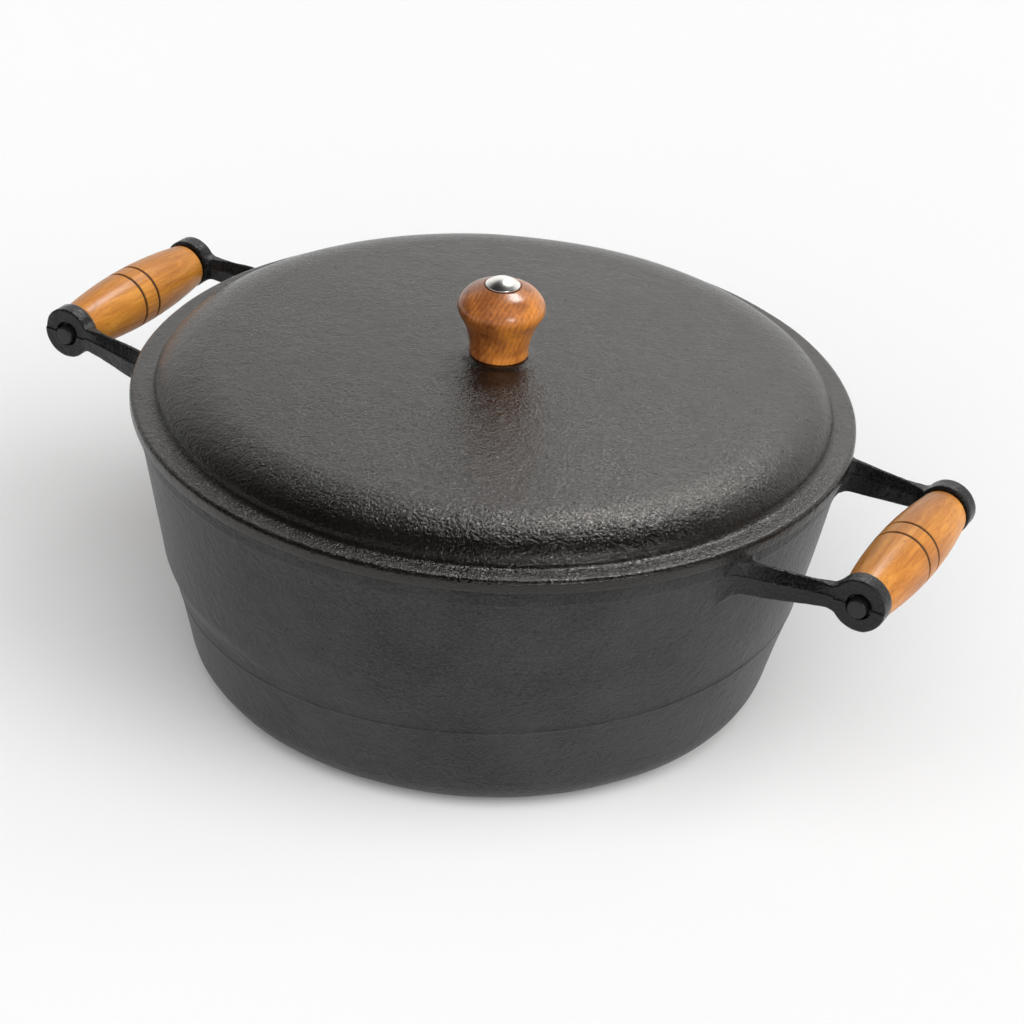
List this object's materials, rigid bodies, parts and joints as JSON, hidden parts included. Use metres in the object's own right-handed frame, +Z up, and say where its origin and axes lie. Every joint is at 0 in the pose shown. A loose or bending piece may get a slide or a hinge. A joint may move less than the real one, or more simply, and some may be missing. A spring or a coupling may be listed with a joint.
{
  "type": "dutch oven",
  "caption": "Round lidded cast iron dutch oven with a tapered pot, low domed lid, turned wooden grips on rods between cast arms, and a wooden lid knob.",
  "frame": {"origin": "centre of the pot's flat base, on the surface it stands on", "axes": "+Z up the pot's turning axis; +X from handle to handle, towards the right handle; the wooden grips lie parallel to Y"},
  "size_m": [0.3992, 0.3, 0.1759],
  "materials": {
    "pot_iron": "seasoned, fine sand-cast texture, satin black",
    "lid_iron": "seasoned, orange-peel cast texture, satin black",
    "grip_wood": "turned, light varnish",
    "knob_wood": "turned, glossy varnish",
    "rod_steel": "blackened",
    "polished_steel": "polished",
    "zinc_steel": "zinc plated"
  },
  "bodies": {
    "root": {"pot": "pot_iron", "left_grip_rod": "rod_steel", "right_grip_rod": "rod_steel"},
    "lid": {"lid": "lid_iron", "knob": "knob_wood", "knob_bolt": "polished_steel", "knob_washer": "zinc_steel", "knob_nut": "zinc_steel"},
    "left_grip": {"left_grip": "grip_wood"},
    "right_grip": {"right_grip": "grip_wood"}
  },
  "joints": [
    {"name": "lid_lift", "type": "slide", "parent": "root", "child": "lid", "axis": [0, 0, 1], "range_m": [0, 0.12]},
    {"name": "left_grip_spin", "type": "hinge", "parent": "root", "child": "left_grip", "pos_m": [-0.1865, 0, 0.1115], "axis": [0, 1, 0], "continuous": true},
    {"name": "right_grip_spin", "type": "hinge", "parent": "root", "child": "right_grip", "pos_m": [0.1865, 0, 0.1115], "axis": [0, 1, 0], "continuous": true}
  ]
}
